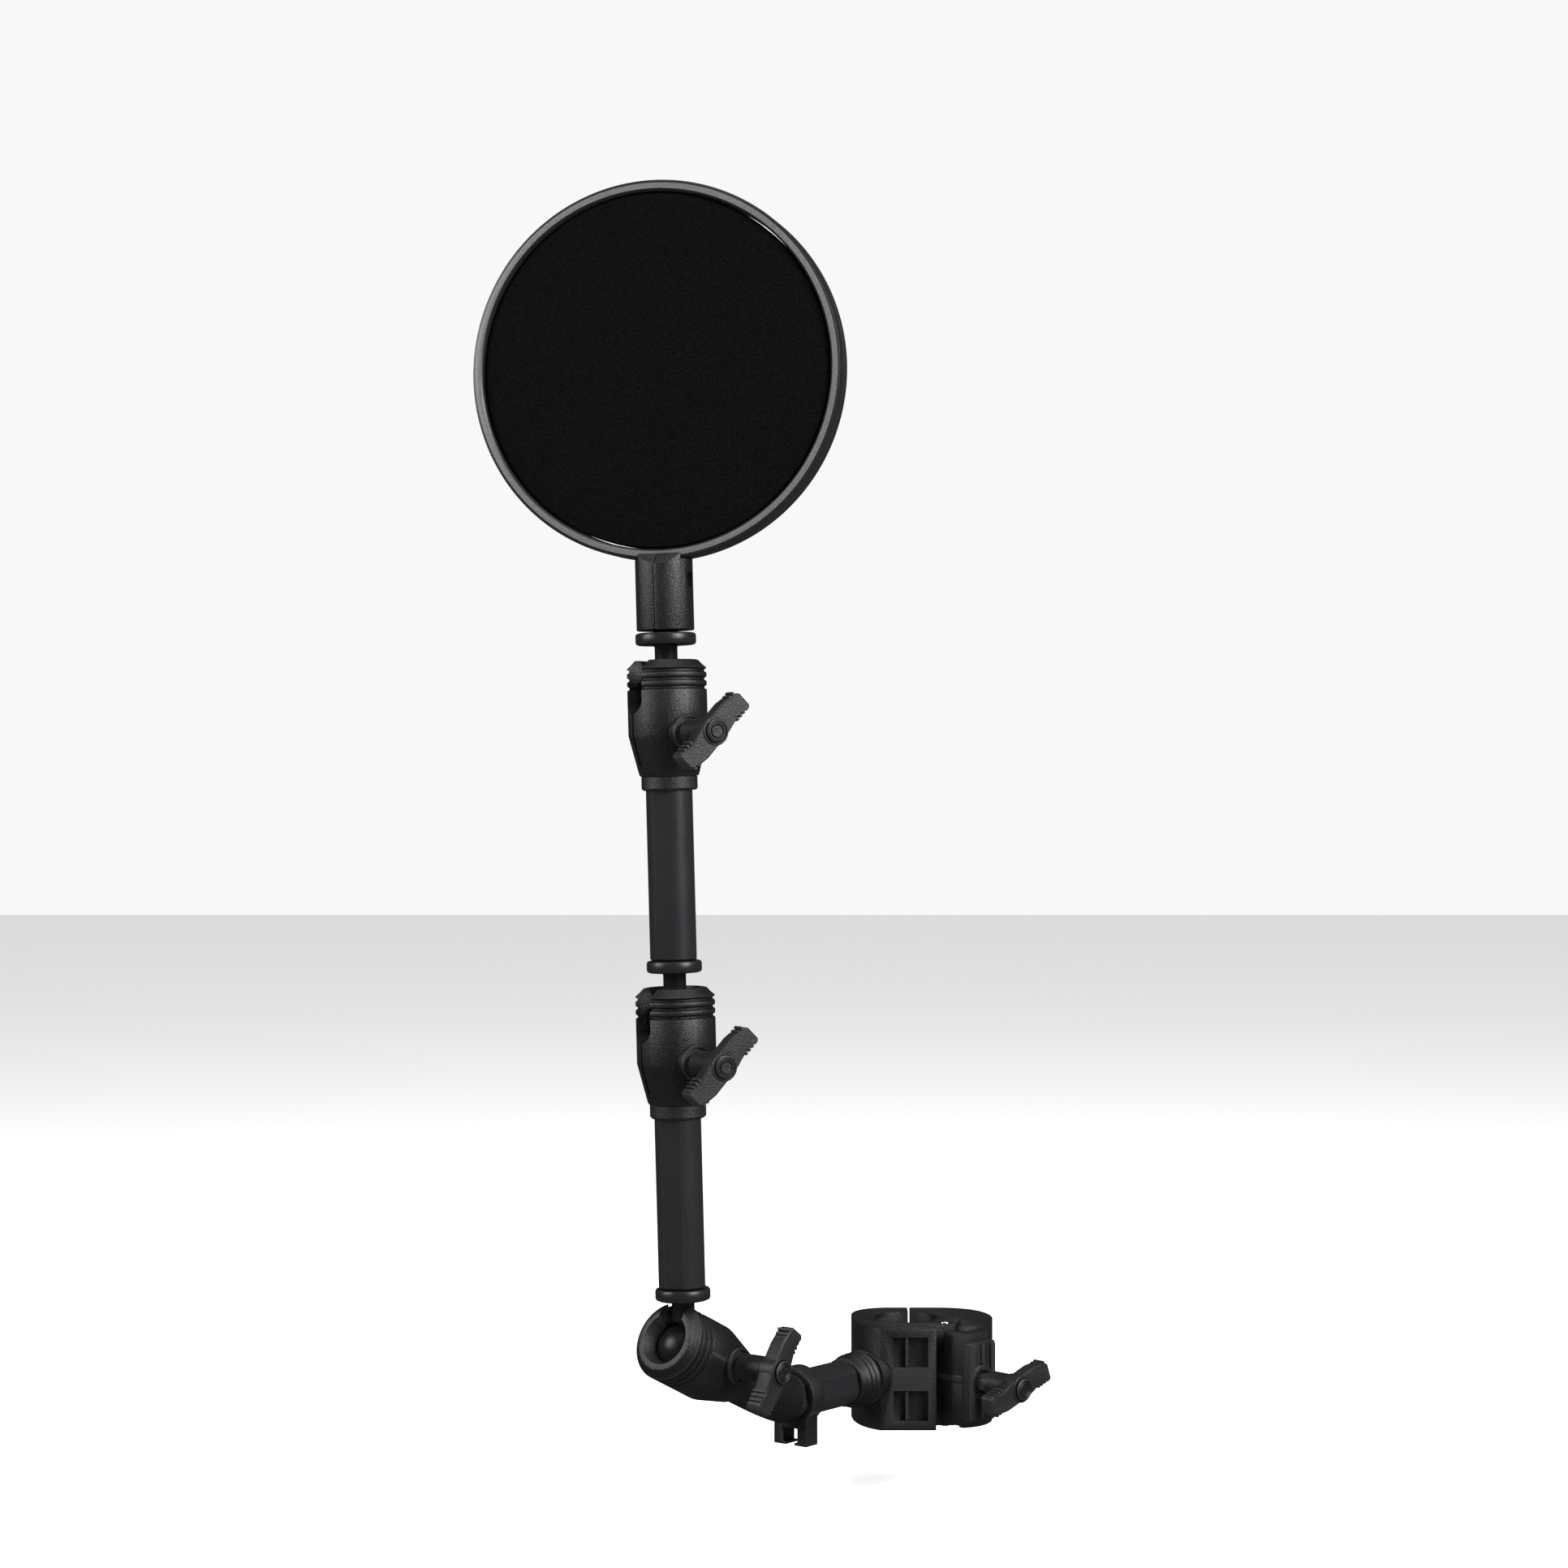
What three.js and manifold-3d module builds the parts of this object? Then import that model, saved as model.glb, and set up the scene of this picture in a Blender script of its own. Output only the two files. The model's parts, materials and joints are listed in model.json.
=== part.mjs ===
// Pop filter on a three-ball-joint arm with a pole clamp. Millimetres, +Z up.
// The origin is on the axis of the clamped pole, half way up the clamp.
import * as THREE from 'three';
import { mergeVertices } from 'three/addons/utils/BufferGeometryUtils.js';
import Module from 'manifold-3d';

const wasm = await Module();
wasm.setup();

// Driving dimensions
const RAD = Math.PI / 180;
const GAP = 0.3;
const POLE_R = 12.5;
const CLAMP_H = 44;
const ARM_AZIMUTH = 52;      // arm tube's heading, left of -X towards -Y
const ELBOW_RISE = 25.8;     // lift of the elbow cup's axis
const BEND_REACH = 91.4;     // pole axis to the elbow's bend
const ELBOW_REACH = 67.4;    // bend to the centre of the elbow ball
const ARM_LEAN = 1.5;        // lean of the upright arm, to the left
const SLOT_AZIMUTH = 59;     // heading of the upright cups' slots
const SCREW_AZIMUTH = 43;    // heading of the clamp screw, right of -Y
const TUBE_R = 9.6;
const TUBE_LENGTH = 68.5;
const BALL_R = 11;
const CUP = { r: 16, mouthR: 10.5, top: 14, shoulder: 9, waist: -17, base: -32.6, baseR: 11.8 };
const SLOT = { width: 11.8, low: -7.5, slit: 1.4 };
const NECK = { r: 4.6, start: 10.6, end: 20 };
const FLANGE = { r: 11.1, topR: 12.2, height: 4.9 };
const COLLAR = { r: 11.3, height: 5.2 };
const BOLT = { r: 2.5, z: -15.5, head: 18.8, stem: 31 };
const HANDLE = { span: 18.5, hubR: 5.8, thick: 8 };
const RING = { outerR: 76, innerR: 71.6, depth: 14, rise: 105 };
const SCREEN_TURN = -12;     // screen's heading, about the arm
const HOLDER_TURN = -8;      // holder's split, from the screen's heading
const CLIP_AT = 75;          // cable clip, along the arm tube
const BLOCK = { r: 11.6, low: 1, top: 37 };

// Materials
const plastic = (color, roughness) => new THREE.MeshStandardMaterial({ color, roughness, metalness: 0 });
const black = plastic(0x1b1b1c, 0.45);
const handleBlack = plastic(0x232324, 0.55);
const rubber = plastic(0x101010, 0.9);
const foam = plastic(0x070707, 1);
const coated = new THREE.MeshStandardMaterial({ color: 0x2c2c2e, roughness: 0.4, metalness: 0.5 });
const chrome = new THREE.MeshStandardMaterial({ color: 0xd0d0d0, roughness: 0.15, metalness: 1 });

// Solids
const vec = (x, y, z) => new THREE.Vector3(x, y, z);
const UP = vec(0, 0, 1);

function solid(geometry) {
  const bare = geometry.clone();
  bare.deleteAttribute('normal');
  bare.deleteAttribute('uv');
  const merged = mergeVertices(bare, 1e-4);
  return new wasm.Manifold(new wasm.Mesh({
    numProp: 3,
    vertProperties: new Float32Array(merged.attributes.position.array),
    triVerts: new Uint32Array(merged.index.array),
  }));
}

function geometryOf(manifold) {
  const mesh = manifold.getMesh();
  const geometry = new THREE.BufferGeometry();
  geometry.setAttribute('position', new THREE.BufferAttribute(new Float32Array(mesh.vertProperties), 3));
  geometry.setIndex(new THREE.BufferAttribute(new Uint32Array(mesh.triVerts), 1));
  geometry.computeVertexNormals();
  return geometry;
}

// A solid of revolution about Z. Points are [radius, z], from the lowest up the outside.
function turned(points, sides = 32) {
  const profile = points.map(([r, z]) => new THREE.Vector2(r, z));
  return solid(new THREE.LatheGeometry(profile, sides).rotateX(Math.PI / 2));
}

const rod = (r, low, high, sides = 24) => turned([[0, low], [r, low], [r, high], [0, high]], sides);
const block = (x, y, z, at = [0, 0, 0]) => solid(new THREE.BoxGeometry(x, y, z).translate(...at));
const ball = (r, sides = 24) => solid(new THREE.SphereGeometry(r, sides, sides / 2).rotateX(Math.PI / 2));
const alongY = (manifold) => manifold.rotate([-90, 0, 0]);

// A flat outline in XY with corners and arcs, extruded evenly about Z = 0.
function slab(shape, height, curveSegments = 12) {
  const options = { depth: height, bevelEnabled: false, curveSegments };
  return solid(new THREE.ExtrudeGeometry(shape, options).translate(0, 0, -height / 2));
}

function add(group, name, manifold, material) {
  const mesh = new THREE.Mesh(geometryOf(manifold), material);
  mesh.name = name;
  group.add(mesh);
}

// A group whose axes are three unit vectors of its parent.
function frame(parent, origin, x, y, z) {
  const group = new THREE.Group();
  group.quaternion.setFromRotationMatrix(new THREE.Matrix4().makeBasis(x, y, z));
  group.position.copy(origin);
  parent.add(group);
  return group;
}

const object = new THREE.Group();

// Tube section: round, with three flat-bottomed flutes
function flutedTube(r, low, high) {
  let tube = rod(r, low, high, 36);
  for (const angle of [-110, 10, 130]) {
    const flute = block(4, 9, high - low + 2, [r + 0.9, 0, (low + high) / 2]);
    tube = tube.subtract(flute.rotate([0, 0, angle]));
  }
  return tube;
}

// Pole clamp
const CLAMP = { left: -24, back: 25, front: -29, flangeX: 12, gateX: 38 };
const PIN = { x: 16.5, y: -14.5, r: 2.5 };
const SEAT = 41;             // seat of the screw's nut plate, along the screw

// Room for the pressure pad, which slides along the clamp screw between the two hinge pins
const padWay = () => block(15, 9.4, 18.6, [0, -17, 0]).rotate([0, 0, SCREW_AZIMUTH]);

function clampBody() {
  const outline = new THREE.Shape();
  outline.moveTo(CLAMP.flangeX, CLAMP.front);
  outline.lineTo(7.5, -17);
  outline.lineTo(1.5, -10);
  outline.lineTo(1.5, CLAMP.back);
  outline.lineTo(-8, CLAMP.back);
  outline.quadraticCurveTo(CLAMP.left, CLAMP.back - 2, CLAMP.left, 4);
  outline.quadraticCurveTo(CLAMP.left, -20, -12, CLAMP.front);
  outline.closePath();
  const lugs = block(19, 8, 12, [PIN.x - 5.5, PIN.y, 16]).add(block(19, 8, 12, [PIN.x - 5.5, PIN.y, -16]));
  const boss = alongY(rod(12, -33, -14, 32)).rotate([0, 0, ARM_AZIMUTH - 90]);
  let body = slab(outline, CLAMP_H).add(lugs).add(boss);
  for (const z of [-11.5, 11.5]) body = body.subtract(block(15, 8, 13, [1, CLAMP.front - 1, z]));
  const bore = rod(POLE_R + 1.4, -CLAMP_H, CLAMP_H, 40);
  const pinHole = rod(PIN.r + 0.1, -40, 40).translate([PIN.x, PIN.y, 0]);
  return body.subtract(bore).subtract(padWay()).subtract(pinHole);
}

function clampGate() {
  const outline = new THREE.Shape();
  outline.moveTo(17.5, -18.6);
  outline.lineTo(24, -24);
  outline.quadraticCurveTo(CLAMP.gateX, -20, CLAMP.gateX, 0);
  outline.quadraticCurveTo(CLAMP.gateX - 2, CLAMP.back, 14, CLAMP.back);
  outline.lineTo(2.5, CLAMP.back);
  outline.lineTo(2.5, 0);
  outline.lineTo(13.5, -10);
  outline.closePath();
  const knuckles = block(14, 16, 13, [PIN.x, PIN.y, 16]).add(block(14, 16, 13, [PIN.x, PIN.y, -16]));
  const screwWay = alongY(rod(4.4, -60, 0)).rotate([0, 0, SCREW_AZIMUTH]);
  const bore = rod(POLE_R + 1.4, -CLAMP_H, CLAMP_H, 40);
  const pinHole = rod(PIN.r + 0.1, -40, 40).translate([PIN.x, PIN.y, 0]);
  const columnLow = 22.6;
  const column = block(13, SEAT - columnLow, 40, [2.5, -(SEAT + columnLow) / 2, 0])
    .rotate([0, 0, SCREW_AZIMUTH]);
  return slab(outline, CLAMP_H).add(column).subtract(knuckles).subtract(screwWay).subtract(padWay())
    .subtract(bore).subtract(pinHole);
}

// A curved liner that touches the pole, between two headings measured from +X.
function liner(from, to, height) {
  const shape = new THREE.Shape();
  shape.absarc(0, 0, POLE_R + 1.1, from * RAD, to * RAD, false);
  shape.absarc(0, 0, POLE_R + 0.05, to * RAD, from * RAD, true);
  shape.closePath();
  return slab(shape, height, 10);
}

// A two-winged tightening handle in the XZ plane, its hub along Y from y to y + thick.
function handle(y, span) {
  const wing = new THREE.Shape();
  wing.moveTo(-5.2, 0);
  wing.lineTo(-3.8, span * 0.6);
  wing.lineTo(-4.9, span);
  wing.lineTo(3.1, span);
  wing.lineTo(5.2, span * 0.62);
  wing.lineTo(5.2, 0);
  wing.closePath();
  const flat = slab(wing, HANDLE.thick - 1).rotate([90, 0, 0]).translate([0, y + HANDLE.thick / 2, 0]);
  const hub = alongY(rod(HANDLE.hubR, y, y + HANDLE.thick));
  return hub.add(flat).add(flat.rotate([0, 180, 0]));
}

function addClamp(group) {
  add(group, 'clamp_body', clampBody(), black);
  add(group, 'clamp_gate', clampGate(), black);
  const pin = rod(PIN.r - 0.25, 9.9, 22.6).translate([PIN.x, PIN.y, 0]);
  add(group, 'hinge_pin_top', pin, chrome);
  add(group, 'hinge_pin_bottom', pin.rotate([180, 0, 0]).translate([0, 2 * PIN.y, 0]), chrome);
  add(group, 'pole_liner', liner(110, 265, 40), rubber);
  const outward = vec(Math.sin(SCREW_AZIMUTH * RAD), -Math.cos(SCREW_AZIMUTH * RAD), 0);
  const screw = frame(group, vec(0, 0, 0), outward.clone().cross(UP), outward, UP);
  const pad = block(14, 3, 17, [0, POLE_R + 2.2, 0]).subtract(rod(POLE_R + 0.9, -20, 20, 40));
  add(screw, 'pressure_pad', pad, rubber);
  const plate = block(16, 4.6, 34, [0, SEAT + 2.6, 0]).add(alongY(rod(7, SEAT + 2, SEAT + 5.9)));
  add(screw, 'nut_plate', plate.subtract(alongY(rod(4.4, 20, 60))), handleBlack);
  add(screw, 'clamp_screw', alongY(rod(3.9, POLE_R + 4.1, 51.5)), coated);
  const turn = new THREE.Group();
  turn.rotation.y = -70 * RAD;
  screw.add(turn);
  const grip = handle(62, HANDLE.span).add(alongY(rod(5.4, 52, 64)));
  add(turn, 'clamp_handle', grip, handleBlack);
  add(turn, 'clamp_handle_cap', alongY(rod(4.6, 70.3, 71.3)), black);
}

// Ball-joint cup about Z, slot towards +X, bolt along Y on the given side
function cup(side) {
  const { r, mouthR, top, shoulder, waist, base, baseR } = CUP;
  let body = turned([[0, base], [baseR, base], [r, waist], [r, shoulder], [r - 1.3, top - 1.8],
    [mouthR + 2.2, top], [0, top]]);
  body = body.add(alongY(rod(7.6, 8, 17.8)).translate([0, 0, BOLT.z]).rotate([0, 0, side < 0 ? 180 : 0]));
  const mouth = turned([[0, 0], [5.5, 0], [mouthR, top + 0.1], [mouthR, top + 1], [0, top + 1]]);
  const round = rod(SLOT.width / 2, 0, 20).rotate([0, 90, 0]);
  const slot = block(20, SLOT.width, 20, [10, 0, SLOT.low + SLOT.width / 2 + 10]);
  const slit = block(20, SLOT.slit, 28, [13, 0, -14]);
  return body.subtract(ball(BALL_R + 0.35)).subtract(mouth).subtract(slot).subtract(slit)
    .subtract(round.translate([0, 0, SLOT.low + SLOT.width / 2]))
    .subtract(alongY(rod(BOLT.r + 0.35, -30, 30, 16)).translate([0, 0, BOLT.z]));
}

function addJoint(group, index, side, handleTurn) {
  const lever = new THREE.Group();
  lever.position.z = BOLT.z;
  lever.rotation.z = side < 0 ? Math.PI : 0;
  group.add(lever);
  add(group, `ball_${index}`, ball(BALL_R, 24).subtract(rod(4, 9.8, 12)), coated);
  const nut = alongY(rod(4.6, -18.4, -16.3, 6)).subtract(alongY(rod(BOLT.r + 0.3, -20, -14, 16)));
  add(lever, `lever_nut_${index}`, nut, coated);
  add(lever, `lever_bolt_${index}`, alongY(rod(BOLT.r, -19.5, BOLT.head - GAP, 16)), coated);
  const turn = new THREE.Group();
  turn.rotation.y = handleTurn * RAD;
  lever.add(turn);
  const grip = handle(BOLT.stem, HANDLE.span).add(alongY(rod(5.4, BOLT.head, BOLT.stem + 2)));
  add(turn, `lever_${index}`, grip, handleBlack);
  add(turn, `lever_cap_${index}`, alongY(rod(4.6, BOLT.stem + 8.3, BOLT.stem + 9.3)), black);
}

// Neck and flange above a ball at the group's origin
function stud(flangeR) {
  const { end } = NECK;
  return turned([[0, NECK.start + 0.6], [3.6, NECK.start + 0.6], [NECK.r, 12.4], [NECK.r, end],
    [flangeR - 1.2, end], [flangeR, end + 1], [flangeR, end + FLANGE.height - 1],
    [flangeR - 1.2, end + FLANGE.height], [0, end + FLANGE.height]]);
}

function addSegment(arm, index) {
  const low = NECK.end + FLANGE.height + GAP;
  const high = low + TUBE_LENGTH;
  add(arm, `arm_tube_${index}`, flutedTube(TUBE_R, low, high), coated);
  add(arm, `arm_collar_${index}`, rod(COLLAR.r, high + GAP, high + COLLAR.height - GAP, 32), black);
  return high + COLLAR.height - CUP.base;
}

// Filter head, above the stud of the top joint
function addFilter(arm, low) {
  const turn = new THREE.Group();
  turn.rotation.z = SCREEN_TURN * RAD;
  turn.position.z = low;
  arm.add(turn);
  const centre = RING.rise;
  const sweep = (points, sides) => alongY(turned(points, sides)).translate([0, 0, centre]);
  const { outerR, innerR, depth } = RING;
  const half = depth / 2;
  const ring = sweep([[innerR, 0.9 - half], [innerR + 0.9, -half], [outerR - 1.2, -half],
    [outerR, 1.4 - half], [outerR, -GAP], [innerR, -GAP], [innerR, 0.9 - half]], 64);
  add(turn, 'front_ring', ring, coated);
  add(turn, 'rear_ring', ring.rotate([0, 0, 180]), coated);
  const disc = (from, to) => sweep([[0, from], [innerR - GAP, from], [innerR - GAP, to], [0, to]], 48);
  add(turn, 'front_foam', disc(-half + 1.2, -half + 6), foam);
  add(turn, 'rear_foam', disc(half - 6, half - 1.2), foam);
  add(turn, 'wire_mesh', disc(-0.4, 0.4), coated);
  const gripRoom = sweep([[0, -half - GAP], [outerR + GAP, -half - GAP], [outerR + GAP, half + GAP],
    [0, half + GAP]], 64);
  const scoop = block(40, 30, 30, [0, 0, 15]).rotate([45, 0, 0]).translate([0, -BLOCK.r, 27.4]);
  const holder = rod(BLOCK.r, BLOCK.low, BLOCK.top, 32).subtract(gripRoom).subtract(scoop);
  const bolt = rod(1.6, -20, 20, 16).rotate([0, 90, 0]).translate([0, 0, 21]);
  const threadWay = rod(5.2, -5, 12);
  const drilled = holder.subtract(bolt).subtract(threadWay);
  const sink = rod(3.2, 8.5, 20, 20).rotate([0, 90, 0]).translate([0, 0, 21]);
  const split = new THREE.Group();
  split.rotation.z = HOLDER_TURN * RAD;
  turn.add(split);
  const back = drilled.rotate([0, 0, -HOLDER_TURN]);
  add(split, 'holder_left', back.subtract(block(40, 60, 90, [20 - GAP / 2, 0, 0])), black);
  const right = back.subtract(block(40, 60, 90, [-20 + GAP / 2, 0, 0]));
  add(split, 'holder_right', right.subtract(sink), black);
}

// Arm tube, elbow and the three joints
const toElbow = vec(-Math.cos(ARM_AZIMUTH * RAD), -Math.sin(ARM_AZIMUTH * RAD), 0);
const rise = ELBOW_RISE * RAD;
const cupAxis = toElbow.clone().multiplyScalar(Math.cos(rise)).add(vec(0, 0, Math.sin(rise)));
const slotAxis = toElbow.clone().multiplyScalar(-Math.sin(rise)).add(vec(0, 0, Math.cos(rise)));
const bend = toElbow.clone().multiplyScalar(BEND_REACH);
const ballCentre = bend.clone().addScaledVector(cupAxis, ELBOW_REACH);

addClamp(object);
const armLine = frame(object, vec(0, 0, 0), UP.clone().cross(toElbow), UP, toElbow);
add(armLine, 'boss_collar', turned([[0, 33.3], [11.4, 33.3], [11.9, 35], [11, 36.5], [11.8, 38], [11, 39.5],
  [11.6, 41], [10.6, 43], [10.4, 46], [0, 46]]), black);
add(armLine, 'arm_tube_0', flutedTube(TUBE_R, 46 + GAP, BEND_REACH - 5), coated);
const clip = turned([[TUBE_R + GAP, 0], [TUBE_R + 2.6, 0], [TUBE_R + 2.6, 8], [TUBE_R + GAP, 8],
  [TUBE_R + GAP, 0]]);
const clipFoot = block(17, 14, 8, [0, -13.5, 4]).subtract(block(7.5, 6, 10, [0, -16.4, 4]))
  .subtract(block(4.5, 9, 10, [0, -18, 4])).subtract(rod(TUBE_R + 2, -2, 10));
add(armLine, 'cable_clip', clip.add(clipFoot).translate([0, 0, CLIP_AT]), handleBlack);

const elbow = frame(object, ballCentre, slotAxis, cupAxis.clone().cross(slotAxis), cupAxis);
const stemStart = vec(0, 0, CUP.base + 3);
const local = (point) => elbow.worldToLocal(point.clone());
elbow.updateWorldMatrix(true, false);
const curve = new THREE.QuadraticBezierCurve3(local(toElbow.clone().multiplyScalar(BEND_REACH - 4.7)),
  local(bend), stemStart);
const section = new THREE.Shape().absarc(0, 0, CUP.baseR - 1.4, 0, Math.PI * 2, false);
const sweepOptions = { steps: 10, extrudePath: curve, curveSegments: 12 };
const sweptNeck = solid(new THREE.ExtrudeGeometry(section, sweepOptions));
add(elbow, 'cup_1', cup(-1).add(sweptNeck), black);
addJoint(elbow, 1, -1, 81);

const arm = new THREE.Group();
arm.position.copy(ballCentre);
arm.rotation.y = -ARM_LEAN * RAD;
object.add(arm);

// Groups at each upright joint, turned so that +X is the slot's heading
function joint(at) {
  const group = new THREE.Group();
  group.position.z = at;
  group.rotation.z = Math.atan2(-Math.cos(SLOT_AZIMUTH * RAD), -Math.sin(SLOT_AZIMUTH * RAD));
  arm.add(group);
  return group;
}

let at = 0;
for (const index of [1, 2]) {
  const segment = new THREE.Group();
  segment.position.z = at;
  arm.add(segment);
  add(segment, `ball_stud_${index}`, stud(FLANGE.r), coated);
  at += addSegment(segment, index);
  const place = joint(at);
  add(place, `cup_${index + 1}`, cup(1), black);
  addJoint(place, index + 1, 1, -45);
}
const head = new THREE.Group();
head.position.z = at;
arm.add(head);
const thread = rod(4.6, NECK.end + FLANGE.height - 0.5, NECK.end + FLANGE.height + 9, 20);
add(head, 'ball_stud_3', stud(FLANGE.topR).add(thread), coated);
addFilter(head, NECK.end + FLANGE.height);

export default object;
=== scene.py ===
"""Looks for the pop filter on its ball-joint arm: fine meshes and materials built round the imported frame."""
import json
import math

import bmesh
import bpy
from mathutils import Matrix, Vector


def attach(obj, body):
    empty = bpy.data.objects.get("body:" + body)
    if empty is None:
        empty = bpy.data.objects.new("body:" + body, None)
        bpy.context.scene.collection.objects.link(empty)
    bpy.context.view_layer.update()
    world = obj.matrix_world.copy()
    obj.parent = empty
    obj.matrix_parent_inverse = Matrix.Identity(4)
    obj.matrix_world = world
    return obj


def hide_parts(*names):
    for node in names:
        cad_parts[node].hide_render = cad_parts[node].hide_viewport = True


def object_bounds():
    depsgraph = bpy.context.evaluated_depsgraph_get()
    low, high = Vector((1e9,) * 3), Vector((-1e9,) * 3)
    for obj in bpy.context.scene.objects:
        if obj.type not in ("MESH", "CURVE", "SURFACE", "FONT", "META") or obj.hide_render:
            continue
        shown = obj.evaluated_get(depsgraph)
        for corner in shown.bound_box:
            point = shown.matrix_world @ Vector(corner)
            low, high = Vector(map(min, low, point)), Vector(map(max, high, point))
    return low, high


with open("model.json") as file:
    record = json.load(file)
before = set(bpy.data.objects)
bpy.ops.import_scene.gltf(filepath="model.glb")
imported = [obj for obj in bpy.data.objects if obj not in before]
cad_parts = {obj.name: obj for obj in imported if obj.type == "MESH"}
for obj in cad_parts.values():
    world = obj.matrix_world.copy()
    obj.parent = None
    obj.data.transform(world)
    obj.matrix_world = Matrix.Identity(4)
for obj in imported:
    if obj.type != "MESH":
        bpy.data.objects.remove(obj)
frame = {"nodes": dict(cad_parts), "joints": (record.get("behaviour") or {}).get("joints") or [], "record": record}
cad_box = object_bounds()
JOINTS = {joint["name"]: joint for joint in frame["joints"]}
MM = 0.001
UP = Vector((0, 0, 1))

# Sizes in millimetres and angles in degrees, matching the frame's solids.
# Cups, studs and the tubes on them: heights start at the ball's centre.
CUP = dict(r=16.0, mouth=10.5, top=14.0, waist=-17.0, base=-32.6, base_r=11.8)
# The grooves' heights, and the rise and inset of each point of a groove's profile
GROOVES = (9.4, 6.0, 2.6)
GROOVE_PROFILE = ((1.3, 0), (0.95, 0.15), (0.5, 0.9), (-0.2, 0.9), (-0.65, 0.15), (-1.0, 0))
BALL_R, CAVITY_R, THROAT_R = 11.0, 11.35, 5.5
SLOT_WIDTH, SLOT_LOW = 11.8, -7.5
SLIT_WIDTH, SLIT_START, SLIT_LENGTH = 1.4, 3.0, 28.0
CUT = 20.0  # A cutter this long reaches past the cup's wall
BOLT_Z, BOLT_HOLE_R, BOLT_HOLE_REACH = -15.5, 2.85, 30.0
BOSS_START, BOSS_END, BOSS_R = 8.0, 17.7, 7.5
NECK_R, NECK_START, NECK_END = 4.6, 11.2, 20.0
FLANGE_HEIGHT, ARM_FLANGE_R, HOLDER_FLANGE_R = 4.9, 11.1, 12.2
THREAD_TOP, THREAD_PITCH, THREAD_DEPTH = 33.5, 1.0, 0.5

# Tubes. CLAMP_TUBE_START is from the pole's axis, and ELBOW_NECK_BACK is back from the bend.
TUBE_R, TUBE_LOW, TUBE_LENGTH, TUBE_SOFT = 9.6, 25.2, 68.5, 0.5
FLUTE_DEPTH, FLUTE_HALF_ANGLE, FLUTE_ANGLES = 0.95, 26, (-110, 10, 130)
COLLAR_R, COLLAR_LAP, COLLAR_HEIGHT, COLLAR_SOFT = 11.3, 0.5, 5.7, 0.8
CLAMP_TUBE_START = 46.3
ELBOW_NECK_R, ELBOW_NECK_BACK, ELBOW_NECK_GAP = CUP["base_r"] - 1.4, 4.7, 0.3

# Handles: distances are out along the bolt or the screw
HUB_R, STEM_R, HANDLE_THICK = 5.8, 5.4, 8.0
LEVER_START, LEVER_STEM_LOW = 31.0, 18.8
CLAMP_HANDLE_START, CLAMP_HANDLE_STEM_LOW, CLAMP_HANDLE_ANGLE = 62.0, 52.0, -70
WING_SCALE = 1.12
WING_OUTLINE = ((-4.6, 0), (-4.3, 4), (-3.4, 9.9), (-3.7, 13), (-4.4, 15.6), (-3.6, 16.5), (2.0, 16.5),
                (2.9, 15.6), (4.1, 11.4), (4.6, 9), (4.6, 0))
STEP_COUNT, STEP_START, STEP_PITCH, STEP_HALF = 4, 9.6, 1.7, 0.45
STEP_LEFT, STEP_RIGHT = -4.4, 4.1

# The nut plate's ribs: distances out along the screw, then each one's centre, half width and two ends
RIB_BASE, RIB_TOP = 45.5, 46.8
RIBS = ((-6.3, 1.3, -16.2, 16.2), (6.3, 1.3, -16.2, 16.2), (0, 0.8, 7.4, 16.2), (0, 0.8, -16.2, -7.4))
# The clamp's pocket fins: centres and size in the frame's own axes
FIN_X, FIN_Y, FIN_HEIGHTS, FIN_SIZE = -0.6, -27.0, (-11.5, 11.5), (1.3, 2.3, 12.6)

# Screen: its centre stands RING_RISE above the last stud's flange
RING_OUTER, RING_INNER, RING_DEPTH, RING_RISE = 76.0, 71.6, 14.0, 105.0
RING_LIP, RING_GAP = 1.2, 0.3
SCREEN_ANGLE = -12
FOAM_CROWN, FOAM_THICK, FOAM_CLEARANCE = 0.5, 4.4, 0.4

# Sockets of a Mix node that mixes colours
MIX_FACTOR, MIX_A, MIX_B, MIX_RESULT = 0, 6, 7, 2
# How many times lighter convex edges are painted, partly for wear and partly as a painted highlight
WORN_AND_HIGHLIGHT_LIGHTER = 5

# Studio, in metres
CAMERA_AT, LENS_MM, SENSOR_MM = (-0.0536, -1.375, 0.2565), 71.74, 36
FLOOR_DROP = 0.03
LAMP_TARGET = Vector((-0.08, -0.1, 0.2))
LAMPS = (("key", (1.1, -1.0, 0.95), 0.6, 44), ("fill", (-1.3, -0.5, 0.7), 0.5, 15),
         ("top", (0.0, -0.2, 1.5), 1.0, 12))
# How bright the world is to other rays and to rays of this kind: the two are added
RAY_STRENGTHS = (("Is Camera Ray", 0.05, 0.94), ("Is Diffuse Ray", 0.0, 0.8))


# Materials
def principled(name, color, roughness, metallic=0.0):
    material = bpy.data.materials.new(name)
    material.use_nodes = True
    shader = material.node_tree.nodes["Principled BSDF"]
    shader.inputs["Base Color"].default_value = (*color, 1)
    shader.inputs["Roughness"].default_value = roughness
    shader.inputs["Metallic"].default_value = metallic
    shader.inputs["Specular IOR Level"].default_value = 0.33
    return material, shader


def node(owner, kind, **values):
    """A shader node in a material or a world, with values for the inputs named."""
    made = owner.node_tree.nodes.new(kind)
    for key, value in values.items():
        made.inputs[key.replace("_", " ")].default_value = value
    return made


def ramp(material, *stops):
    """A colour ramp between two stops, each a position and a colour."""
    made = material.node_tree.nodes.new("ShaderNodeValToRGB")
    for index, (position, color) in enumerate(stops):
        made.color_ramp.elements[index].position = position
        made.color_ramp.elements[index].color = (*color, 1)
    return made


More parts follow.
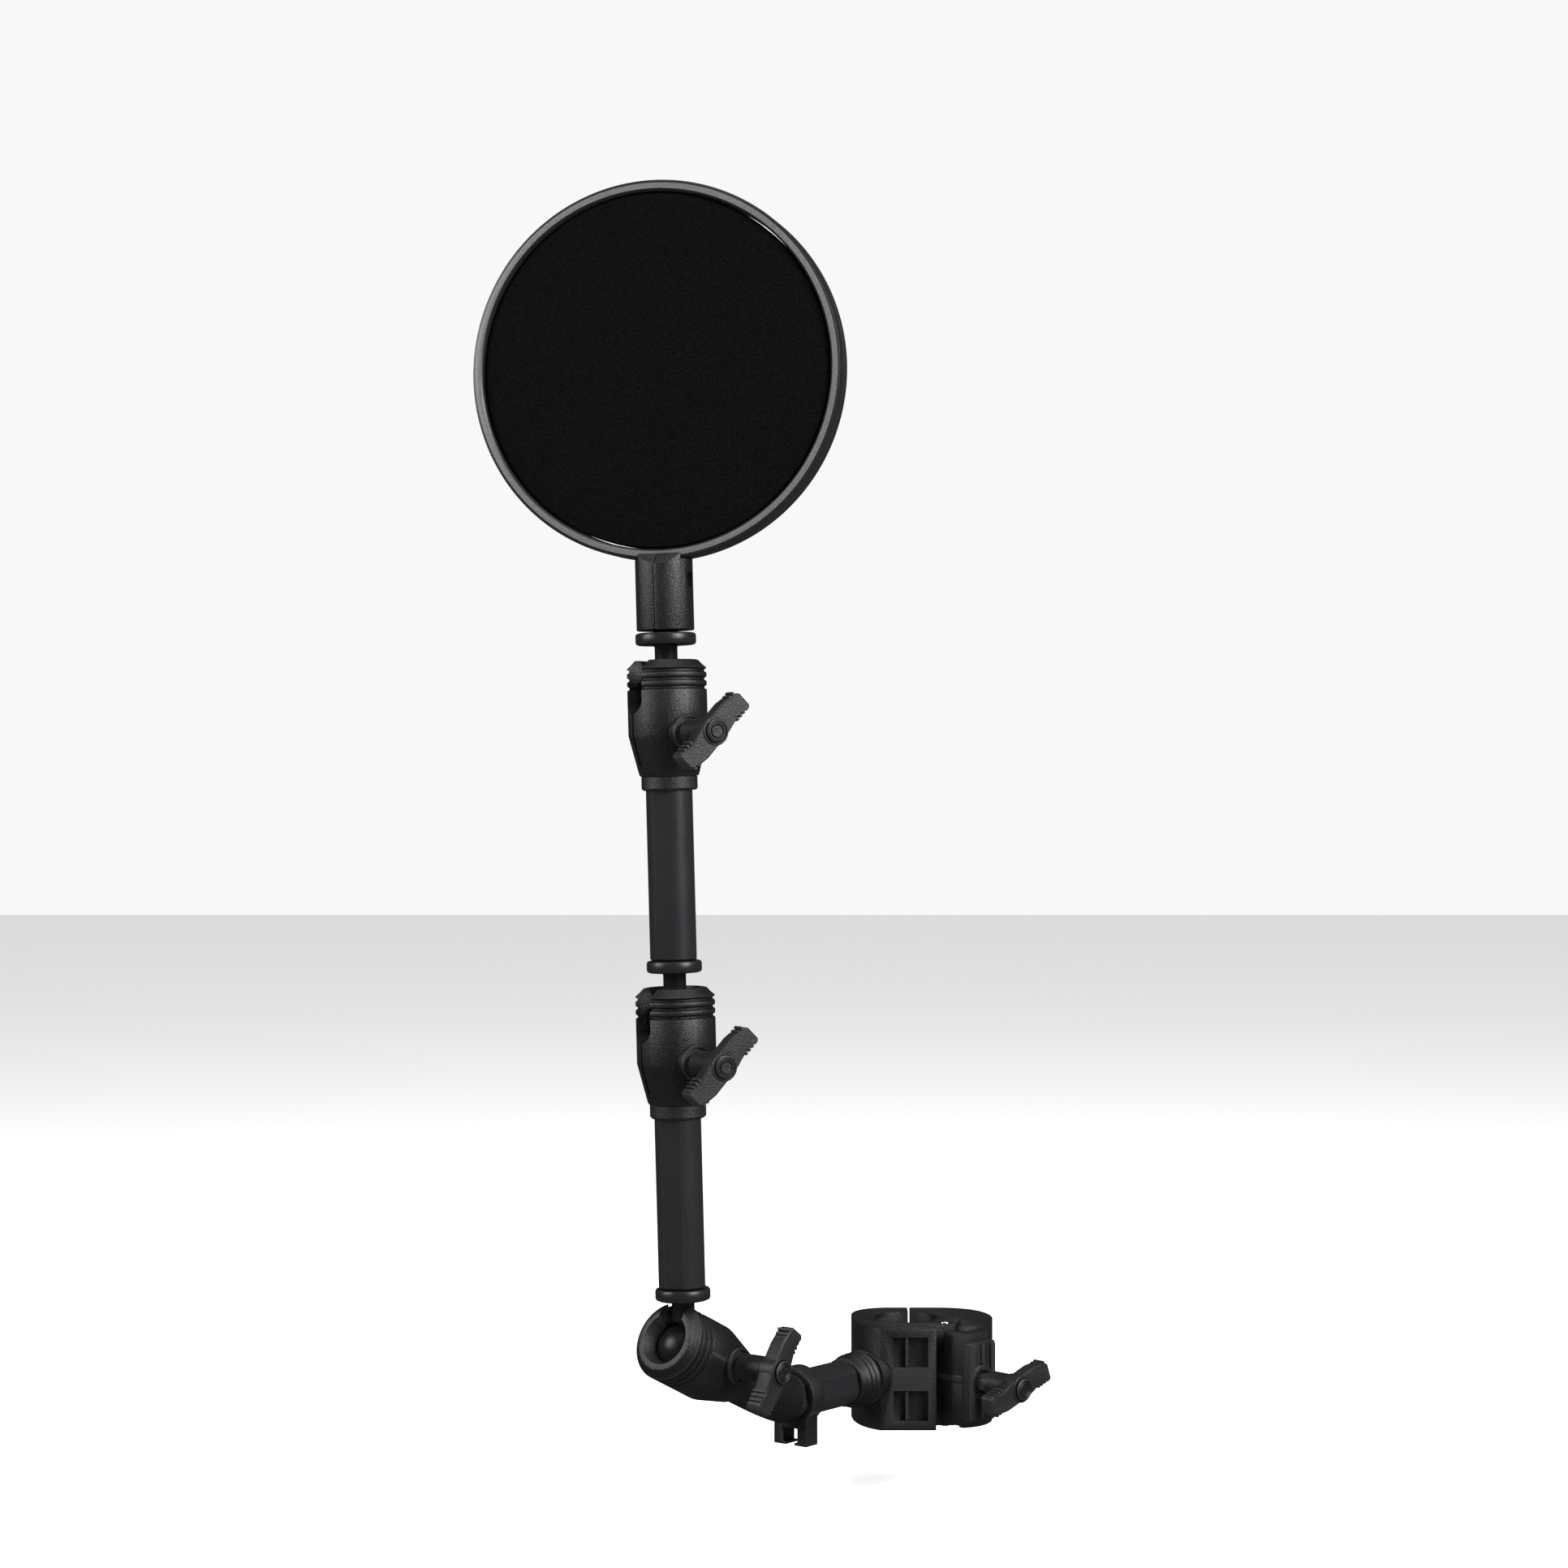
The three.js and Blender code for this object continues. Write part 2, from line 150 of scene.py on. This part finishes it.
def grain(material, shader, scale, strength, distance, color, spread, rough, rough_spread):
    """Fine bump and speckle, edges lighter for wear and as a painted highlight, and gloss that drifts slowly over
    the surface.
    """
    link = material.node_tree.links.new
    place = material.node_tree.nodes.new("ShaderNodeTexCoord").outputs["Object"]
    fine = node(material, "ShaderNodeTexNoise", Scale=scale, Detail=3.0, Roughness=0.6)
    broad = node(material, "ShaderNodeTexNoise", Scale=45.0, Detail=4.0)
    for texture in (fine, broad):
        link(place, texture.inputs["Vector"])
    bump = node(material, "ShaderNodeBump", Strength=strength, Distance=distance)
    link(fine.outputs["Fac"], bump.inputs["Height"])
    link(bump.outputs["Normal"], shader.inputs["Normal"])
    dark = [c * (1 - spread) for c in color]
    light = [c * (1 + spread) for c in color]
    speckle = ramp(material, (0.3, dark), (0.7, light))
    link(fine.outputs["Fac"], speckle.inputs["Fac"])
    # Convex edges, found by pointiness, are painted lighter: partly wear, partly a painted highlight
    wear_and_highlight = ramp(material, (0.52, (0, 0, 0)), (0.62, (0.6, 0.6, 0.6)))
    geometry = material.node_tree.nodes.new("ShaderNodeNewGeometry")
    link(geometry.outputs["Pointiness"], wear_and_highlight.inputs["Fac"])
    mix = material.node_tree.nodes.new("ShaderNodeMix")
    mix.data_type = "RGBA"
    mix.inputs[MIX_B].default_value = (*(min(1, c * WORN_AND_HIGHLIGHT_LIGHTER) for c in color), 1)
    link(wear_and_highlight.outputs["Color"], mix.inputs[MIX_FACTOR])
    link(speckle.outputs["Color"], mix.inputs[MIX_A])
    link(mix.outputs[MIX_RESULT], shader.inputs["Base Color"])
    gloss = node(material, "ShaderNodeMapRange", To_Min=rough - rough_spread, To_Max=rough + rough_spread)
    link(broad.outputs["Fac"], gloss.inputs["Value"])
    link(gloss.outputs["Result"], shader.inputs["Roughness"])


def moulded(name, color, rough, scale=1700.0, strength=0.8, metallic=0.0):
    material, shader = principled(name, color, rough, metallic)
    grain(material, shader, scale, strength, distance=0.0003, color=color, spread=0.7,
          rough=rough, rough_spread=0.1)
    return material


def foam_material():
    color = (0.0014, 0.0014, 0.0015)
    material, shader = principled("open_cell_foam", color, 0.95)
    grain(material, shader, scale=1300.0, strength=1.0, distance=0.0009, color=color, spread=0.95,
          rough=0.93, rough_spread=0.05)
    shader.inputs["Specular IOR Level"].default_value = 0.06
    return material


BODY = moulded("moulded_nylon", (0.0042, 0.0042, 0.0046), 0.38)
HANDLE = moulded("handle_nylon", (0.0042, 0.0042, 0.0046), 0.46, 1200.0)
COATED = moulded("black_coated_metal", (0.007, 0.007, 0.0078), 0.32, 2600.0, 0.25, 0.3)
# Grey for the ring's flat face: a painted reflection on a ring that is otherwise black
RING_FACE_PAINTED_REFLECTION = moulded("ring_face_painted_reflection", (0.07, 0.07, 0.074), 0.42, 2200.0, 0.3, 0.4)
RUBBER = moulded("grip_rubber", (0.005, 0.005, 0.005), 0.8, 600.0)
CHROME = moulded("polished_pin", (0.75, 0.75, 0.77), 0.14, 300.0, 0.02, 1.0)
FOAM = foam_material()


# Places, read from the frame's joints
def joint_axis(name):
    return Vector(JOINTS[name]["axis"]).normalized()


def joint_point(name):
    return Vector(JOINTS[name]["pos_m"])


def axes(x, y, z):
    """A matrix whose local axes are x, y and z."""
    return Matrix((x, y, z)).transposed().to_4x4()


def turned(matrix, degrees, axis):
    return matrix @ Matrix.Rotation(math.radians(degrees), 4, axis)


def local_frame(index):
    """A cup's axes, from its ball's centre: +X is the slot, +Y the clamping bolt, +Z the mouth."""
    slot_axis = joint_axis(f"swing_{index}")
    bolt_axis = joint_axis(f"tilt_{index}")
    matrix = axes(slot_axis, bolt_axis, slot_axis.cross(bolt_axis))
    matrix.translation = joint_point(f"tilt_{index}")
    return matrix


def bolt_frame(index, side):
    """A cup's axes moved down to its bolt, with +Y towards the side that the lever is on."""
    at_bolt = local_frame(index) @ Matrix.Translation((0, 0, BOLT_Z * MM))
    return turned(at_bolt, 180 if side < 0 else 0, "Z")


def arm_frame(index):
    """Axes of what stands on a ball, from the ball's centre: +Z is along the arm."""
    along = joint_axis(f"spin_{index}")
    right = Vector((0, 1, 0)).cross(along).normalized()
    matrix = axes(right, along.cross(right), along)
    matrix.translation = joint_point(f"spin_{index}")
    return matrix


def screw_frame():
    """The clamp screw's axes, from the frame's origin: +Y outwards along the screw, +Z up."""
    out = joint_axis("screw_turn")
    return axes(out.cross(UP), out, UP)


def bend_reach():
    """How far along the arm tube its axis meets the elbow cup's, in metres."""
    along = joint_axis("clip_slide")
    centre = joint_point("tilt_1")
    cup_axis = local_frame(1).col[2].to_3d()
    return centre @ along - centre.z / math.tan(math.asin(cup_axis.z))


# Meshes
def add_object(name, data):
    made = bpy.data.objects.new(name, data)
    bpy.context.scene.collection.objects.link(made)
    return made


def shade(made, degrees):
    made.data.shade_smooth()
    made.data.set_sharp_from_angle(angle=math.radians(degrees))


def piece(name, bm, matrix, material, smooth=35):
    """A new object from a bmesh in millimetres in the local frame given by matrix."""
    bmesh.ops.recalc_face_normals(bm, faces=bm.faces)
    mesh = bpy.data.meshes.new(name)
    bm.to_mesh(mesh)
    bm.free()
    mesh.transform(matrix @ Matrix.Scale(MM, 4))
    mesh.materials.append(material)
    made = add_object(name, mesh)
    shade(made, smooth)
    return made


def settle(made, body, slot, *nodes):
    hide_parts(*nodes)
    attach(made, body)


def circle(steps):
    return [2 * math.pi * i / steps for i in range(steps)]


def lathe(points, steps=96, closed=False):
    """A solid turned about Z from (radius, z) points. Points at radius 0 are poles."""
    bm = bmesh.new()
    rows = []
    for radius, z in points:
        if radius < 1e-6:
            rows.append([bm.verts.new((0, 0, z))])
            continue
        rows.append([bm.verts.new((radius * math.cos(a), radius * math.sin(a), z)) for a in circle(steps)])
    pairs = list(zip(rows, rows[1:])) + ([(rows[-1], rows[0])] if closed else [])
    for low, high in pairs:
        for i in range(steps):
            j = (i + 1) % steps
            if len(low) == 1:
                bm.faces.new((low[0], high[i], high[j]))
            elif len(high) == 1:
                bm.faces.new((low[i], low[j], high[0]))
            else:
                bm.faces.new((low[i], low[j], high[j], high[i]))
    return bm


def stitch(bm, rings):
    """Joins rings of equal length by quads, and closes both ends."""
    count = len(rings[0])
    for low, high in zip(rings, rings[1:]):
        for i in range(count):
            j = (i + 1) % count
            bm.faces.new((low[i], low[j], high[j], high[i]))
    bm.faces.new(rings[0])
    bm.faces.new(rings[-1])


def add_prism(bm, outline, low, high, soft):
    """Adds a closed prism along Y, from an outline of (x, z) points, with chamfered rims."""
    cx = sum(x for x, _ in outline) / len(outline)
    cz = sum(z for _, z in outline) / len(outline)
    rings = []
    for y, inset in ((low, soft), (low + soft, 0), (high - soft, 0), (high, soft)):
        ring = []
        for x, z in outline:
            away = Vector((x - cx, z - cz))
            away *= 1 - min(0.5, inset / max(away.length, 0.1))
            ring.append(bm.verts.new((cx + away.x, y, cz + away.y)))
        rings.append(ring)
    stitch(bm, rings)


def box(x, y, z, at):
    bm = bmesh.new()
    bmesh.ops.create_cube(bm, size=1, matrix=Matrix.Translation(at) @ Matrix.Diagonal((x, y, z, 1)))
    return bm


def moved(bm, matrix):
    bmesh.ops.transform(bm, matrix=matrix, verts=bm.verts)
    return bm


def along_y(bm):
    return moved(bm, Matrix.Rotation(math.radians(-90), 4, "X"))


def rod(radius, low, high, steps=64, soft=0.4):
    return lathe([(0, low), (radius - soft, low), (radius, low + soft), (radius, high - soft),
                  (radius - soft, high), (0, high)], steps)


def bake_modifiers(made):
    bpy.context.view_layer.update()
    graph = bpy.context.evaluated_depsgraph_get()
    mesh = bpy.data.meshes.new_from_object(made.evaluated_get(graph))
    made.modifiers.clear()
    made.data = mesh


def combine(made, bm, matrix, operation):
    """Cuts or joins a helper solid into a piece, and removes the helper."""
    helper = piece("helper", bm, matrix, made.data.materials[0])
    modifier = made.modifiers.new("combine", "BOOLEAN")
    modifier.operation = operation
    modifier.solver = "EXACT"
    modifier.object = helper
    bake_modifiers(made)
    bpy.data.objects.remove(helper)


def add_shells(made, bm, matrix):
    """Adds closed shells in millimetres to a piece, sunk a little into its surface."""
    extra = piece("extra", bm, matrix, made.data.materials[0])
    joined = bmesh.new()
    joined.from_mesh(made.data)
    joined.from_mesh(extra.data)
    joined.to_mesh(made.data)
    joined.free()
    bpy.data.objects.remove(extra)
    shade(made, 32)


def rounded(name, material, width=0.5, smooth=32):
    """The frame's own solid with its facets merged and its edges rounded, in place of the node."""
    bm = bmesh.new()
    bm.from_mesh(frame["nodes"][name].data)
    bmesh.ops.remove_doubles(bm, verts=bm.verts, dist=1e-6)
    bmesh.ops.dissolve_limit(bm, angle_limit=math.radians(1), verts=bm.verts, edges=bm.edges)
    made = piece(name + "_shell", bm, Matrix.Scale(1 / MM, 4), material, smooth)
    bevel = made.modifiers.new("round", "BEVEL")
    bevel.width = width * MM
    bevel.segments = 3
    bevel.limit_method = "ANGLE"
    bevel.angle_limit = math.radians(smooth)
    bake_modifiers(made)
    shade(made, smooth)
    return made


# Cups
def cup_outline():
    r, top, base = CUP["r"], CUP["top"], CUP["base"]
    rim = [(0, top), (CUP["mouth"] + 1.6, top), (CUP["mouth"] + 2.3, top - 0.2), (r - 1.6, top - 1.9),
           (r - 0.8, top - 2.6)]
    grooves = [(r - inset, z + rise) for z in GROOVES for rise, inset in GROOVE_PROFILE]
    foot = [(r, CUP["waist"] + 1), (r - 0.2, CUP["waist"]), (CUP["base_r"] + 0.3, base + 0.8),
            (CUP["base_r"] - 0.2, base), (0, base)]
    return rim + grooves + foot


def bolt_boss():
    """The round boss that the lever clamps against, along +Y."""
    shoulder = BOSS_END - 0.7
    profile = [(0, BOSS_START), (BOSS_R, BOSS_START), (BOSS_R, shoulder), (BOSS_R - 0.5, BOSS_END),
               (BOSS_R - 1.2, BOSS_END), (BOSS_R - 1.5, shoulder), (0, shoulder)]
    return along_y(lathe(profile, 64))


def cup_cutters():
    """What is cut from a cup in its own axes: the ball's cavity, mouth, slot, slot's round end and slit."""
    cavity = bmesh.new()
    bmesh.ops.create_uvsphere(cavity, u_segments=64, v_segments=32, radius=CAVITY_R)
    mouth_r, top = CUP["mouth"], CUP["top"]
    mouth = lathe([(0, 0), (THROAT_R, 0), (mouth_r, top + 0.1), (mouth_r, top + 1), (0, top + 1)])
    half = SLOT_WIDTH / 2
    low = SLOT_LOW + half
    slot = box(CUT, SLOT_WIDTH, CUT, (CUT / 2, 0, low + CUT / 2))
    sideways = turned(Matrix.Translation((0, 0, low)), 90, "Y")
    slot_end = moved(lathe([(0, 0), (half, 0), (half, CUT), (0, CUT)], 64), sideways)
    slit = box(CUT, SLIT_WIDTH, SLIT_LENGTH, (SLIT_START + CUT / 2, 0, -SLIT_LENGTH / 2))
    return cavity, mouth, slot, slot_end, slit


def elbow_neck():
    """The curved neck that joins the elbow cup to the arm tube, swept in the cup's axes."""
    tube_axis = joint_axis("clip_slide")
    into_cup = local_frame(1).inverted()
    reach = bend_reach()
    start = into_cup @ (tube_axis * (reach - ELBOW_NECK_BACK * MM)) / MM
    bend = into_cup @ (tube_axis * reach) / MM
    end = Vector((0, 0, CUP["base"] + 3))
    bm, rings, steps = bmesh.new(), [], 24
    across = Vector((0, 1, 0))
    for i in range(steps + 1):
        t = i / steps
        centre = start * (1 - t) ** 2 + bend * 2 * t * (1 - t) + end * t * t
        along = ((bend - start) * (1 - t) + (end - bend) * t).normalized()
        other = along.cross(across)
        radius = ELBOW_NECK_R - (0.5 if i in (0, steps) else 0)
        rings.append([bm.verts.new(centre + radius * (math.cos(a) * across + math.sin(a) * other))
                      for a in circle(64)])
    stitch(bm, rings)
    return bm


def cup(index, body, side):
    matrix = local_frame(index)
    at_bolt = bolt_frame(index, side)
    made = piece(f"cup_{index}_shell", lathe(cup_outline()), matrix, BODY)
    combine(made, bolt_boss(), at_bolt, "UNION")
    if index == 1:
        combine(made, elbow_neck(), matrix, "UNION")
    for cutter in cup_cutters():
        combine(made, cutter, matrix, "DIFFERENCE")
    bolt_hole = along_y(rod(BOLT_HOLE_R, -BOLT_HOLE_REACH, BOLT_HOLE_REACH))
    combine(made, bolt_hole, at_bolt, "DIFFERENCE")
    shade(made, 30)
    settle(made, body, "body", f"cup_{index}")


# Balls and studs
def ball(index):
    arc = [math.radians(d) for d in range(-90, 64, 6)]
    points = [(BALL_R * math.cos(a), BALL_R * math.sin(a)) for a in arc]
    points[0] = (0, -BALL_R)
    points += [(NECK_R, 9.9), (0, 9.7)]
    made = piece(f"ball_{index}_skin", lathe(points), arm_frame(index), COATED)
    settle(made, f"swivel_{index}", "coated", f"ball_{index}")


def stud(index, radius, thread_top=None):
    """A ball's neck and flange, and on the last one the thread that the holder sits on."""
    top = NECK_END + FLANGE_HEIGHT
    points = [(0, NECK_START), (NECK_R - 1, NECK_START), (NECK_R, NECK_START + 1.2),
              (NECK_R, NECK_END - 0.8), (NECK_R + 0.5, NECK_END), (radius - 1.2, NECK_END),
              (radius - 0.3, NECK_END + 0.4), (radius, NECK_END + 1.1), (radius, top - 1),
              (radius - 0.4, top - 0.3), (radius - 1.2, top)]
    if thread_top:
        z = top
        while z < thread_top - THREAD_PITCH:
            points += [(NECK_R - THREAD_DEPTH, z), (NECK_R, z + THREAD_PITCH / 2)]
            z += THREAD_PITCH
    points += [(0, thread_top or top)]
    made = piece(f"ball_stud_{index}_skin", lathe(points), arm_frame(index), COATED)
    settle(made, f"neck_{index}", "coated", f"ball_stud_{index}")


# Tubes and collars
def fluted(low, high):
    """A round bar with three flat-bottomed flutes and soft ends."""
    bm, rings = bmesh.new(), []
    flute_half, flute_floor = math.radians(FLUTE_HALF_ANGLE), TUBE_R - FLUTE_DEPTH
    centres = [math.radians(a) for a in FLUTE_ANGLES]
    soft = TUBE_SOFT
    for z, inset in ((low, soft), (low + soft, 0), (high - soft, 0), (high, soft)):
        ring = []
        for a in circle(180):
            away = min(abs(math.remainder(a - c, 2 * math.pi)) for c in centres)
            radius = min(TUBE_R, flute_floor / math.cos(away)) if away < flute_half else TUBE_R
            radius -= inset
            ring.append(bm.verts.new((radius * math.cos(a), radius * math.sin(a), z)))
        rings.append(ring)
    stitch(bm, rings)
    return bm


def segment(index, body):
    """The tube that stands on a stud, and the collar at its top."""
    high = TUBE_LOW + TUBE_LENGTH
    place = arm_frame(index)
    tube = piece(f"arm_tube_{index}_skin", fluted(TUBE_LOW, high), place, COATED, 12)
    settle(tube, body, "coated", f"arm_tube_{index}")
    collar = rod(COLLAR_R, high - COLLAR_LAP, high + COLLAR_HEIGHT, 96, COLLAR_SOFT)
    ring = piece(f"arm_collar_{index}_skin", collar, place, BODY)
    settle(ring, body, "body", f"arm_collar_{index}")


def clamp_tube():
    """The tube from the clamp to the elbow, which ends just short of the elbow's neck."""
    along = joint_axis("clip_slide")
    end = bend_reach() / MM - ELBOW_NECK_BACK - ELBOW_NECK_GAP
    place = axes(UP.cross(along), UP, along)
    tube = piece("arm_tube_0_skin", fluted(CLAMP_TUBE_START, end), place, COATED, 12)
    settle(tube, "clamp", "coated", "arm_tube_0")


# Tightening handles
def handle_mesh(start, stem_low):
    """Stem, hub and two wings with stepped edges, along +Y. Its face is HANDLE_THICK past start."""
    face = start + HANDLE_THICK
    stem = [(0, stem_low), (STEM_R - 0.4, stem_low), (STEM_R, stem_low + 0.4), (STEM_R, start - 1)]
    hub = [(HUB_R - 0.4, start), (HUB_R, start + 0.6), (HUB_R, face - 0.6), (HUB_R - 0.4, face),
           (HUB_R - 0.9, face), (HUB_R - 1.1, face - 0.5), (0, face - 0.5)]
    bm = along_y(lathe(stem + hub, 64))
    low, high = start + 0.6, face - 0.6
    for scale in (WING_SCALE, -WING_SCALE):
        add_prism(bm, [(scale * x, scale * z) for x, z in WING_OUTLINE], low, high, 0.7)
        for k in range(STEP_COUNT):
            z = STEP_START + STEP_PITCH * k
            step = [(STEP_LEFT, z - STEP_HALF), (STEP_RIGHT, z - STEP_HALF),
                    (STEP_RIGHT, z + STEP_HALF), (STEP_LEFT, z + STEP_HALF)]
            add_prism(bm, [(scale * x, scale * z) for x, z in step], low + 0.5, high - 0.5, 0.2)
    return bm


def cap_mesh(face):
    """A plain cap with two raised rings."""
    profile = [(0, face + 0.25), (4.5, face + 0.25), (4.6, face + 0.9), (3.9, face + 1.3),
               (3.5, face + 0.9), (3.1, face + 0.9), (2.7, face + 1.3), (2.3, face + 0.9), (0, face + 0.8)]
    return along_y(lathe(profile, 64))


def lever(index, side, angle):
    place = turned(bolt_frame(index, side), angle, "Y")
    body = f"lever_{index}"
    grip = piece(f"lever_{index}_grip", handle_mesh(LEVER_START, LEVER_STEM_LOW), place, HANDLE, 30)
    settle(grip, body, "handle", f"lever_{index}")
    cap = piece(f"lever_cap_{index}_disc", cap_mesh(LEVER_START + HANDLE_THICK), place, BODY)
    settle(cap, body, "body", f"lever_cap_{index}")


def clamp_lever():
    place = turned(screw_frame(), CLAMP_HANDLE_ANGLE, "Y")
    handle = handle_mesh(CLAMP_HANDLE_START, CLAMP_HANDLE_STEM_LOW)
    grip = piece("clamp_handle_grip", handle, place, HANDLE, 30)
    settle(grip, "screw", "handle", "clamp_handle")
    cap = piece("clamp_handle_cap_disc", cap_mesh(CLAMP_HANDLE_START + HANDLE_THICK), place, BODY)
    settle(cap, "screw", "body", "clamp_handle_cap")


# Clamp
def clamp_block():
    """The clamp's body with an upright fin in each of its two front pockets."""
    made = rounded("clamp_body", BODY, 0.9)
    bm = bmesh.new()
    for z in FIN_HEIGHTS:
        fin = Matrix.Translation((FIN_X, FIN_Y, z)) @ Matrix.Diagonal((*FIN_SIZE, 1))
        bmesh.ops.create_cube(bm, size=1, matrix=fin)
    add_shells(made, bm, Matrix.Identity(4))
    settle(made, "clamp", "body", "clamp_body")


def nut_plate():
    """The nut plate with ribs raised along its two sides and down its middle."""
    made = rounded("nut_plate", HANDLE, 0.6)
    bm = bmesh.new()
    for x, half, low, high in RIBS:
        outline = [(x - half, low), (x - half, high), (x + half, high), (x + half, low)]
        add_prism(bm, outline, RIB_BASE, RIB_TOP, 0.4)
    add_shells(made, bm, screw_frame())
    settle(made, "gate", "handle", "nut_plate")


# Screen
def ring_section(half):
    """Half of the screen's frame, from its face at -half to just short of the middle."""
    return [(RING_INNER, RING_LIP - half), (RING_INNER + 0.25, 0.5 - half), (RING_INNER + 0.9, -half),
            (RING_OUTER - 1.3, -half), (RING_OUTER - 0.5, 0.4 - half), (RING_OUTER, 1.4 - half),
            (RING_OUTER, -1.0), (RING_OUTER - 0.5, -RING_GAP), (RING_INNER, -RING_GAP)]


def paint_reflection_on_face(ring, axis):
    """Only the flat face of a ring is painted grey, as a painted reflection: its rim and bore are black."""
    for face in ring.data.polygons:
        face.material_index = 0 if face.normal.dot(axis) < -0.95 else 1


def foam_pad(half):
    """A disc with a softly crowned front and rolled-in rim."""
    front, edge = RING_LIP - half, RING_INNER - FOAM_CLEARANCE
    points = [(0, front - FOAM_CROWN)]
    points += [(edge * t, front - FOAM_CROWN + FOAM_CROWN * t ** 4)
               for t in (0.1, 0.25, 0.4, 0.55, 0.7, 0.82, 0.92)]
    points += [(edge - 2, front + 0.2), (edge - 0.6, front + 0.8), (edge, front + 1.8),
               (edge, front + FOAM_THICK), (0, front + FOAM_THICK)]
    return lathe(points, 192)


def screen():
    place = turned(arm_frame(3), SCREEN_ANGLE, "Z")
    place = place @ Matrix.Translation((0, 0, (NECK_END + FLANGE_HEIGHT + RING_RISE) * MM))
    place = turned(place, -90, "X")
    half = RING_DEPTH / 2
    for name, flip in (("front_ring", 0), ("rear_ring", 180)):
        facing = turned(place, flip, "X")
        ring = piece(name + "_skin", lathe(ring_section(half), 256, closed=True), facing, RING_FACE_PAINTED_REFLECTION)
        ring.data.materials.append(COATED)
        # The flat face gets the grey painted reflection, and the rest gets the black coat
        paint_reflection_on_face(ring, facing.col[2].to_3d().normalized())
        settle(ring, "filter", "coated", name)
        foam_name = name.replace("ring", "foam")
        foam = piece(foam_name + "_pad", foam_pad(half), facing, FOAM)
        settle(foam, "filter", "foam", foam_name)


# Build. A joint's row is its number, its cup's body, the body above it, its lever's side and angle.
for joint_index, cup_body, upper_body, lever_side, lever_angle in (
        (1, "clamp", "lower_arm", -1, 81), (2, "lower_arm", "upper_arm", 1, -45),
        (3, "upper_arm", "filter", 1, -45)):
    cup(joint_index, cup_body, lever_side)
    ball(joint_index)
    if joint_index == 3:
        stud(joint_index, HOLDER_FLANGE_R, THREAD_TOP)
    else:
        stud(joint_index, ARM_FLANGE_R)
    lever(joint_index, lever_side, lever_angle)
    if joint_index < 3:
        segment(joint_index, upper_body)
clamp_lever()
clamp_tube()
clamp_block()
nut_plate()
screen()
for node_name, ride_body, slot_name, finish, edge in (
        ("clamp_gate", "gate", "body", BODY, 0.9), ("cable_clip", "clip", "handle", HANDLE, 0.3),
        ("boss_collar", "clamp", "body", BODY, 0.25), ("hinge_pin_top", "clamp", "chrome", CHROME, 0.5),
        ("holder_left", "filter", "body", BODY, 0.3), ("holder_right", "filter", "body", BODY, 0.3)):
    settle(rounded(node_name, finish, edge), ride_body, slot_name, node_name)
LEFT_OVER = {"coated": COATED, "body": BODY, "handle": HANDLE, "rubber": RUBBER, "chrome": CHROME,
             "foam": FOAM}
for subpart in frame["record"]["subparts"]:
    kept = frame["nodes"][subpart["node"]]
    kept.data.materials.clear()
    kept.data.materials.append(LEFT_OVER[subpart["material_slot"]])


# Studio
def add_floor():
    mesh = bpy.data.meshes.new("floor")
    z = cad_box[0].z - FLOOR_DROP
    mesh.from_pydata([(-6, -3, z), (6, -3, z), (6, 6, z), (-6, 6, z)], [], [(0, 1, 2, 3)])
    floor = add_object("floor", mesh)
    mesh.materials.append(principled("pale_floor", (0.9, 0.9, 0.9), 0.8)[0])
    floor.visible_glossy = False


def add_room():
    """A white room for the floor and the backdrop, and a dark one for reflections, so blacks stay deep."""
    world = bpy.data.worlds.new("studio")
    bpy.context.scene.world = world
    world.use_nodes = True
    background = world.node_tree.nodes["Background"]
    background.inputs["Color"].default_value = (1, 1, 1, 1)
    link = world.node_tree.links.new
    ray = world.node_tree.nodes.new("ShaderNodeLightPath")
    total = world.node_tree.nodes.new("ShaderNodeMath")
    for index, (kind, low, high) in enumerate(RAY_STRENGTHS):
        part = node(world, "ShaderNodeMapRange", To_Min=low, To_Max=high)
        link(ray.outputs[kind], part.inputs["Value"])
        link(part.outputs["Result"], total.inputs[index])
    link(total.outputs["Value"], background.inputs["Strength"])
    bpy.context.scene.view_settings.view_transform = "Standard"


def add_lamps():
    for name, place, size, power in LAMPS:
        lamp = bpy.data.lights.new(name, "AREA")
        lamp.size = size
        lamp.energy = power
        holder = add_object(name, lamp)
        holder.location = place
        holder.rotation_mode = "QUATERNION"
        holder.rotation_quaternion = (LAMP_TARGET - Vector(place)).to_track_quat("-Z", "Y")


def add_camera():
    data = bpy.data.cameras.new("camera")
    data.sensor_width = SENSOR_MM
    data.lens = LENS_MM
    made = add_object("camera", data)
    made.location = CAMERA_AT
    made.rotation_euler = (math.radians(90), 0, 0)
    bpy.context.scene.camera = made


add_floor()
add_room()
add_lamps()
add_camera()
